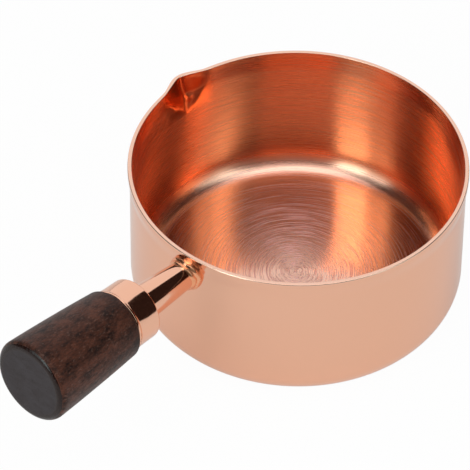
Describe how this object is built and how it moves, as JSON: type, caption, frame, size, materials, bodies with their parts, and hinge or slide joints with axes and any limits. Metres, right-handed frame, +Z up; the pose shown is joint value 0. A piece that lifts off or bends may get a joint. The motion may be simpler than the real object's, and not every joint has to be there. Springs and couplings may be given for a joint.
{
  "type": "saucepan",
  "caption": "Small open copper-plated saucepan with a pressed pour lip, a welded tapered stem, a ferrule and a turned wooden handle, for warming sauces and milk.",
  "frame": {"origin": "centre of the flat underside of the base, on the surface that the pan stands on", "axes": "+Z up along the pan's axis, +X outwards under the handle, the pour lip towards -Y"},
  "size_m": [0.1639, 0.102, 0.0589],
  "materials": {
    "copper_shell": "copper plating over stainless sheet, polished outside, brushed in circles inside",
    "polished_copper": "mirror-polished copper plating over steel",
    "weld_copper": "rounded weld beads under copper plating",
    "dark_wood": "dark brown hardwood, mottled reddish figure, fine grain along the grip, satin oil finish",
    "stud_steel": "zinc-plated steel",
    "insert_brass": "plain turned brass"
  },
  "bodies": {
    "root": {"pan_body": "copper_shell", "handle_stem": "polished_copper", "stem_weld": "weld_copper", "ferrule": "polished_copper", "wooden_grip": "dark_wood", "handle_stud": "stud_steel", "grip_insert": "insert_brass"}
  },
  "joints": []
}
